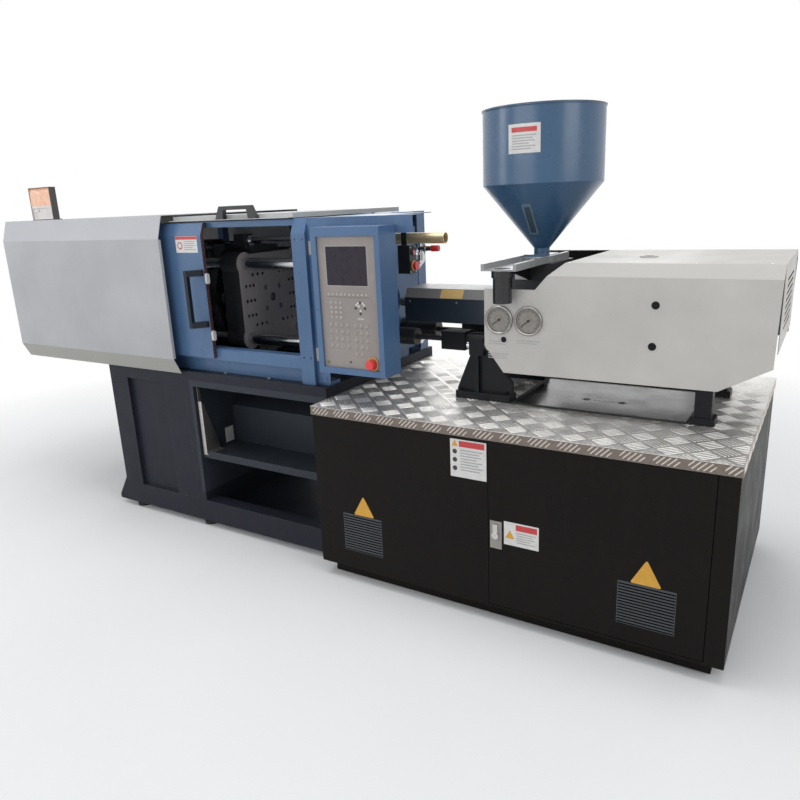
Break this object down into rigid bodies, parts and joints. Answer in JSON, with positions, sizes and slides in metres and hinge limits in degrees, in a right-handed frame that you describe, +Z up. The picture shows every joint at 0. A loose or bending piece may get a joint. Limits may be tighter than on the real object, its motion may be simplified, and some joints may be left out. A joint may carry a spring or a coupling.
{
  "type": "injection moulding machine",
  "caption": "Horizontal injection moulding machine: toggle clamp with sliding gate and covers, control box, barrel and screw unit with hopper, on a welded base and steel cabinet.",
  "frame": {"origin": "middle of the bounding box on the floor; the clamping and injection axis lies along X above it at 1.08 m", "axes": "+X from the clamp unit to the injection unit, +Y from the operator side to the rear side, +Z up"},
  "size_m": [3.627, 1.1182, 1.811],
  "materials": {
    "slate_paint": "dark slate machine paint, satin, dusty",
    "bent_sheet": "bare bent sheet",
    "black_rubber": "levelling pads",
    "cabinet_paint": "near black warm textured paint, satin",
    "checker_plate": "bright checker plate, worn",
    "stainless": "smooth stainless sheet",
    "tank_paint": "grey blue paint",
    "grey_equipment": "electrical equipment",
    "cast_dark": "dark paint on castings",
    "hard_chrome": "ground hard chrome",
    "brass_sleeve": "brass coloured sleeve",
    "white_cover": "off white powder coat",
    "amber_lens": "amber lens",
    "blue_paint": "mid blue machine paint, satin",
    "black_plastic": "black moulded plastic",
    "black_casting": "black paint on castings",
    "clear_window": "clear polycarbonate sheet",
    "grey_guard": "pale grey paint",
    "panel_grey": "warm grey membrane panel",
    "red_button": "red push button",
    "latch_chrome": "plated latch",
    "link_steel": "machined steel, oily",
    "barrel_steel": "heater bands and barrel steel",
    "navy_guard": "dark guard sheet",
    "gauge_case": "gauge case with pale dial",
    "screw_steel": "nitrided steel",
    "hopper_blue": "blue painted sheet, satin",
    "lid_dark": "dark lid"
  },
  "bodies": {
    "frame": {"clamp_base": "slate_paint", "drop_chute": "bent_sheet", "machine_feet": "black_rubber", "cabinet_frame": "cabinet_paint", "deck_plate": "checker_plate", "drip_tray": "stainless", "power_pack": "tank_paint", "electrical_plate": "grey_equipment", "tail_platen": "cast_dark", "stationary_platen": "blue_paint", "tie_bars": "hard_chrome", "safety_bar_sleeve": "brass_sleeve", "clamp_cover_front": "white_cover", "clamp_cover_rear": "white_cover", "clamp_cover_top": "white_cover", "beacon_lamp": "amber_lens", "gate_frame": "blue_paint", "housing_front": "blue_paint", "housing_rear": "blue_paint", "switch_box": "black_plastic", "guide_rods": "hard_chrome", "rod_supports": "black_casting"},
    "front_gate": {"front_gate": "blue_paint", "front_gate_window": "clear_window", "front_gate_handle": "black_plastic"},
    "rear_gate": {"rear_gate": "blue_paint"},
    "top_guard": {"top_guard": "grey_guard", "top_guard_handle": "black_plastic"},
    "control_box": {"control_box": "blue_paint", "control_panel": "panel_grey"},
    "e_stop_button": {"e_stop_button": "red_button"},
    "mushroom_button": {"mushroom_button": "red_button"},
    "cabinet_door": {"cabinet_door": "cabinet_paint"},
    "door_latch": {"door_latch": "latch_chrome"},
    "upper_rear_link": {"upper_rear_link": "link_steel"},
    "upper_front_link": {"upper_front_link": "link_steel"},
    "lower_rear_link": {"lower_rear_link": "link_steel"},
    "lower_front_link": {"lower_front_link": "link_steel"},
    "upper_cross_link": {"upper_cross_link": "link_steel"},
    "lower_cross_link": {"lower_cross_link": "link_steel"},
    "crosshead": {"crosshead": "link_steel"},
    "moving_platen": {"moving_platen": "cast_dark", "safety_bar": "hard_chrome"},
    "ejector_plate": {"ejector_plate": "link_steel"},
    "carriage": {"throat_block": "cast_dark", "barrel": "barrel_steel", "barrel_guard": "navy_guard", "injection_cover_front": "white_cover", "injection_cover_rear": "white_cover", "injection_cover_top": "white_cover", "pressure_gauges": "gauge_case", "hydraulic_cylinders": "black_casting", "hopper_slide_base": "stainless"},
    "gauge_needle_left": {"gauge_needle_left": "black_plastic"},
    "gauge_needle_right": {"gauge_needle_right": "black_plastic"},
    "drive_plate": {"drive_plate": "cast_dark"},
    "screw": {"screw": "screw_steel"},
    "hopper": {"hopper_slide_plate": "stainless", "hopper": "hopper_blue"},
    "hopper_lid": {"hopper_lid": "lid_dark"}
  },
  "joints": [
    {"name": "front_gate_slide", "type": "slide", "parent": "frame", "child": "front_gate", "axis": [1, 0, 0], "range_m": [0, 0.47]},
    {"name": "rear_gate_slide", "type": "slide", "parent": "frame", "child": "rear_gate", "axis": [-1, 0, 0], "range_m": [0, 0.45]},
    {"name": "top_guard_hinge", "type": "hinge", "parent": "frame", "child": "top_guard", "pos_m": [0, 0.41, 1.468], "axis": [-1, 0, 0], "range_deg": [0, 95]},
    {"name": "control_box_hinge", "type": "hinge", "parent": "frame", "child": "control_box", "pos_m": [0.24, -0.424, 0], "axis": [0, 0, -1], "range_deg": [0, 90]},
    {"name": "e_stop_press", "type": "slide", "parent": "control_box", "child": "e_stop_button", "axis": [0, 1, 0], "range_m": [0, 0.005], "stiffness_N_per_m": 900, "springref_m": -0.002},
    {"name": "mushroom_press", "type": "slide", "parent": "frame", "child": "mushroom_button", "axis": [-1, 0, 0], "range_m": [0, 0.004], "stiffness_N_per_m": 900, "springref_m": -0.002},
    {"name": "cabinet_door_hinge", "type": "hinge", "parent": "frame", "child": "cabinet_door", "pos_m": [1.703, -0.545, 0], "axis": [0, 0, 1], "range_deg": [0, 105]},
    {"name": "door_latch_turn", "type": "hinge", "parent": "cabinet_door", "child": "door_latch", "pos_m": [1.008, 0, 0.354], "axis": [0, 1, 0], "range_deg": [0, 90]},
    {"name": "upper_rear_pivot", "type": "hinge", "parent": "frame", "child": "upper_rear_link", "pos_m": [-0.78008, 0, 1.315], "axis": [0, -1, 0], "range_deg": [0, 67.5]},
    {"name": "upper_knee", "type": "hinge", "parent": "upper_rear_link", "child": "upper_front_link", "pos_m": [-0.71004, 0, 1.12767], "axis": [0, -1, 0], "range_deg": [-135, 0]},
    {"name": "platen_pivot", "type": "hinge", "parent": "upper_front_link", "child": "moving_platen", "pos_m": [-0.64, 0, 1.315], "axis": [0, -1, 0], "range_deg": [0, 67.5]},
    {"name": "lower_rear_pivot", "type": "hinge", "parent": "frame", "child": "lower_rear_link", "pos_m": [-0.78008, 0, 0.845], "axis": [0, -1, 0], "range_deg": [-67.5, 0]},
    {"name": "lower_knee", "type": "hinge", "parent": "lower_rear_link", "child": "lower_front_link", "pos_m": [-0.71004, 0, 1.03233], "axis": [0, -1, 0], "range_deg": [0, 135]},
    {"name": "upper_cross_pivot", "type": "hinge", "parent": "upper_rear_link", "child": "upper_cross_link", "pos_m": [-0.75557, 0, 1.24943], "axis": [0, -1, 0], "range_deg": [-135, 0]},
    {"name": "crosshead_pivot", "type": "hinge", "parent": "upper_cross_link", "child": "crosshead", "pos_m": [-0.73105, 0, 1.315], "axis": [0, -1, 0], "range_deg": [0, 67.5]},
    {"name": "lower_cross_pivot", "type": "hinge", "parent": "lower_rear_link", "child": "lower_cross_link", "pos_m": [-0.75557, 0, 0.91057], "axis": [0, -1, 0], "range_deg": [0, 135]},
    {"name": "ejector_slide", "type": "slide", "parent": "moving_platen", "child": "ejector_plate", "axis": [1, 0, 0], "range_m": [0, 0.055]},
    {"name": "carriage_slide", "type": "slide", "parent": "frame", "child": "carriage", "axis": [-1, 0, 0], "range_m": [0, 0.045]},
    {"name": "injection_slide", "type": "slide", "parent": "carriage", "child": "drive_plate", "axis": [1, 0, 0], "range_m": [0, 0.1]},
    {"name": "screw_turn", "type": "hinge", "parent": "drive_plate", "child": "screw", "pos_m": [0, 0, 1.08], "axis": [1, 0, 0], "continuous": true},
    {"name": "hopper_slide", "type": "slide", "parent": "carriage", "child": "hopper", "axis": [0, -1, 0], "range_m": [0, 0.38]},
    {"name": "hopper_lid_hinge", "type": "hinge", "parent": "hopper", "child": "hopper_lid", "pos_m": [0.961, 0.237, 1.803], "axis": [-1, 0, 0], "range_deg": [0, 100]},
    {"name": "needle_left_turn", "type": "hinge", "parent": "carriage", "child": "gauge_needle_left", "pos_m": [0.929, 0, 1.083], "axis": [0, 1, 0], "range_deg": [0, 250]},
    {"name": "needle_right_turn", "type": "hinge", "parent": "carriage", "child": "gauge_needle_right", "pos_m": [1.039, 0, 1.083], "axis": [0, 1, 0], "range_deg": [0, 250]}
  ],
  "couplings": [
    {"joint": "upper_knee", "follows": "upper_rear_pivot", "ratio": -2},
    {"joint": "platen_pivot", "follows": "upper_rear_pivot", "ratio": 1},
    {"joint": "lower_rear_pivot", "follows": "upper_rear_pivot", "ratio": -1},
    {"joint": "lower_knee", "follows": "upper_rear_pivot", "ratio": 2},
    {"joint": "upper_cross_pivot", "follows": "upper_rear_pivot", "ratio": -2},
    {"joint": "crosshead_pivot", "follows": "upper_rear_pivot", "ratio": 1},
    {"joint": "lower_cross_pivot", "follows": "upper_rear_pivot", "ratio": 2}
  ]
}
